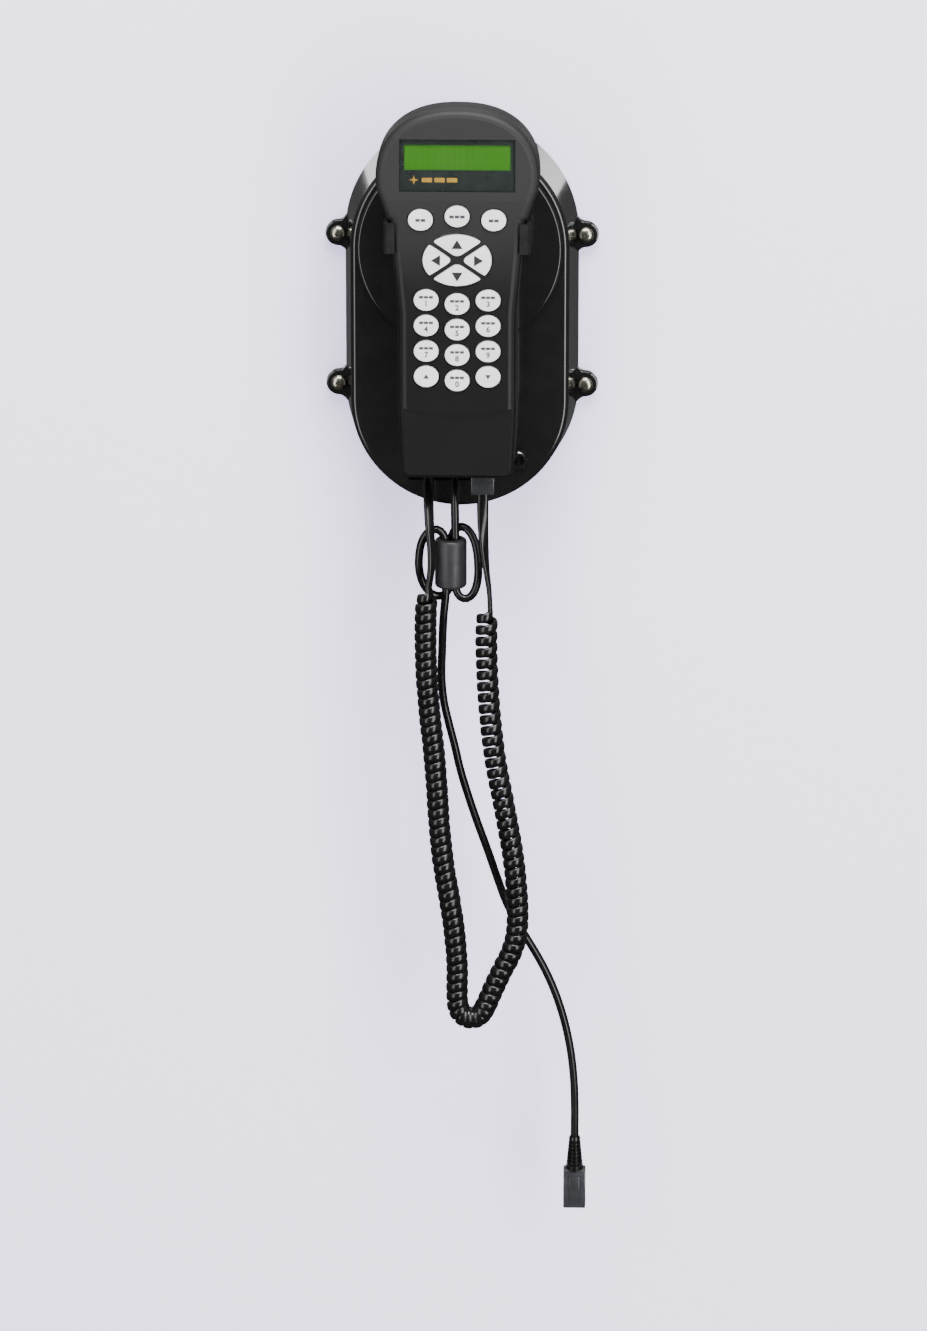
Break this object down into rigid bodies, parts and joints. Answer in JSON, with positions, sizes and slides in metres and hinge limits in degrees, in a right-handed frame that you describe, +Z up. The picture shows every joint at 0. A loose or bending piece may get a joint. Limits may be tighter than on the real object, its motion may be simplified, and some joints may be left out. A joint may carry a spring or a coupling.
{
  "type": "telescope hand controller",
  "caption": "Hand controller for a motorised telescope: handset with green display and oval keys, hung in a clip on an oval dock, with a curly lead and a ferrite drive lead.",
  "frame": {"origin": "centre of the dock's flat back, in the plane of the wall it is screwed to", "axes": "+Z up, +Y into the wall, so the keys and display face -Y, +X to the right seen from the front"},
  "size_m": [0.1402, 0.0774, 0.598],
  "materials": {
    "dock_gloss": "high gloss black",
    "handset_case": "fine matt texture",
    "clip": "satin",
    "back_plate": "satin black",
    "screw": "polished dome",
    "key_cap": "smooth light grey rubber",
    "window": "clear",
    "mask": "printed black",
    "display": "backlit green",
    "key_mat": "matt",
    "circuit_board": "solder mask",
    "socket": "moulded",
    "plug": "smoky clear",
    "cord": "satin",
    "ferrite": "fine texture"
  },
  "bodies": {
    "dock": {"dock_back_plate": "back_plate", "dock_cover": "dock_gloss", "dock_screw_1": "screw", "dock_screw_2": "screw", "dock_screw_3": "screw", "dock_screw_4": "screw", "holder_clip": "clip", "clip_screw_1": "screw", "clip_screw_2": "screw", "dock_lead_socket": "socket", "dock_drive_socket": "socket", "dock_board": "circuit_board", "power_socket": "screw", "dock_plug": "plug", "drive_lead_dock_plug": "plug", "lead_tail_dock": "cord", "lead_coil": "cord", "drive_lead": "cord", "ferrite_core": "ferrite", "drive_plug": "plug"},
    "handset": {"front_shell": "handset_case", "rear_shell": "handset_case", "display_window": "window", "display_mask": "mask", "display_module": "display", "keypad_mat": "key_mat", "main_board": "circuit_board", "handset_socket": "socket", "update_socket": "socket", "handset_power_socket": "socket", "case_screw_1": "screw", "case_screw_2": "screw", "case_screw_3": "screw", "case_screw_4": "screw", "handset_plug": "plug", "lead_tail_handset": "cord"},
    "key_back_cap": {"key_back": "key_cap"},
    "key_menu_cap": {"key_menu": "key_cap"},
    "key_enter_cap": {"key_enter": "key_cap"},
    "key_up_cap": {"key_up": "key_cap"},
    "key_down_cap": {"key_down": "key_cap"},
    "key_left_cap": {"key_left": "key_cap"},
    "key_right_cap": {"key_right": "key_cap"},
    "key_1_cap": {"key_1": "key_cap"},
    "key_2_cap": {"key_2": "key_cap"},
    "key_3_cap": {"key_3": "key_cap"},
    "key_4_cap": {"key_4": "key_cap"},
    "key_5_cap": {"key_5": "key_cap"},
    "key_6_cap": {"key_6": "key_cap"},
    "key_7_cap": {"key_7": "key_cap"},
    "key_8_cap": {"key_8": "key_cap"},
    "key_9_cap": {"key_9": "key_cap"},
    "key_scroll_up_cap": {"key_scroll_up": "key_cap"},
    "key_0_cap": {"key_0": "key_cap"},
    "key_scroll_down_cap": {"key_scroll_down": "key_cap"}
  },
  "joints": [
    {"name": "handset_lift", "type": "slide", "parent": "dock", "child": "handset", "axis": [0, 0, 1], "range_m": [0, 0.15]},
    {"name": "key_back_press", "type": "slide", "parent": "handset", "child": "key_back_cap", "axis": [0, 1, 0], "range_m": [0, 0.001], "stiffness_N_per_m": 350},
    {"name": "key_menu_press", "type": "slide", "parent": "handset", "child": "key_menu_cap", "axis": [0, 1, 0], "range_m": [0, 0.001], "stiffness_N_per_m": 350},
    {"name": "key_enter_press", "type": "slide", "parent": "handset", "child": "key_enter_cap", "axis": [0, 1, 0], "range_m": [0, 0.001], "stiffness_N_per_m": 350},
    {"name": "key_up_press", "type": "slide", "parent": "handset", "child": "key_up_cap", "axis": [0, 1, 0], "range_m": [0, 0.001], "stiffness_N_per_m": 350},
    {"name": "key_down_press", "type": "slide", "parent": "handset", "child": "key_down_cap", "axis": [0, 1, 0], "range_m": [0, 0.001], "stiffness_N_per_m": 350},
    {"name": "key_left_press", "type": "slide", "parent": "handset", "child": "key_left_cap", "axis": [0, 1, 0], "range_m": [0, 0.001], "stiffness_N_per_m": 350},
    {"name": "key_right_press", "type": "slide", "parent": "handset", "child": "key_right_cap", "axis": [0, 1, 0], "range_m": [0, 0.001], "stiffness_N_per_m": 350},
    {"name": "key_1_press", "type": "slide", "parent": "handset", "child": "key_1_cap", "axis": [0, 1, 0], "range_m": [0, 0.001], "stiffness_N_per_m": 350},
    {"name": "key_2_press", "type": "slide", "parent": "handset", "child": "key_2_cap", "axis": [0, 1, 0], "range_m": [0, 0.001], "stiffness_N_per_m": 350},
    {"name": "key_3_press", "type": "slide", "parent": "handset", "child": "key_3_cap", "axis": [0, 1, 0], "range_m": [0, 0.001], "stiffness_N_per_m": 350},
    {"name": "key_4_press", "type": "slide", "parent": "handset", "child": "key_4_cap", "axis": [0, 1, 0], "range_m": [0, 0.001], "stiffness_N_per_m": 350},
    {"name": "key_5_press", "type": "slide", "parent": "handset", "child": "key_5_cap", "axis": [0, 1, 0], "range_m": [0, 0.001], "stiffness_N_per_m": 350},
    {"name": "key_6_press", "type": "slide", "parent": "handset", "child": "key_6_cap", "axis": [0, 1, 0], "range_m": [0, 0.001], "stiffness_N_per_m": 350},
    {"name": "key_7_press", "type": "slide", "parent": "handset", "child": "key_7_cap", "axis": [0, 1, 0], "range_m": [0, 0.001], "stiffness_N_per_m": 350},
    {"name": "key_8_press", "type": "slide", "parent": "handset", "child": "key_8_cap", "axis": [0, 1, 0], "range_m": [0, 0.001], "stiffness_N_per_m": 350},
    {"name": "key_9_press", "type": "slide", "parent": "handset", "child": "key_9_cap", "axis": [0, 1, 0], "range_m": [0, 0.001], "stiffness_N_per_m": 350},
    {"name": "key_scroll_up_press", "type": "slide", "parent": "handset", "child": "key_scroll_up_cap", "axis": [0, 1, 0], "range_m": [0, 0.001], "stiffness_N_per_m": 350},
    {"name": "key_0_press", "type": "slide", "parent": "handset", "child": "key_0_cap", "axis": [0, 1, 0], "range_m": [0, 0.001], "stiffness_N_per_m": 350},
    {"name": "key_scroll_down_press", "type": "slide", "parent": "handset", "child": "key_scroll_down_cap", "axis": [0, 1, 0], "range_m": [0, 0.001], "stiffness_N_per_m": 350}
  ]
}
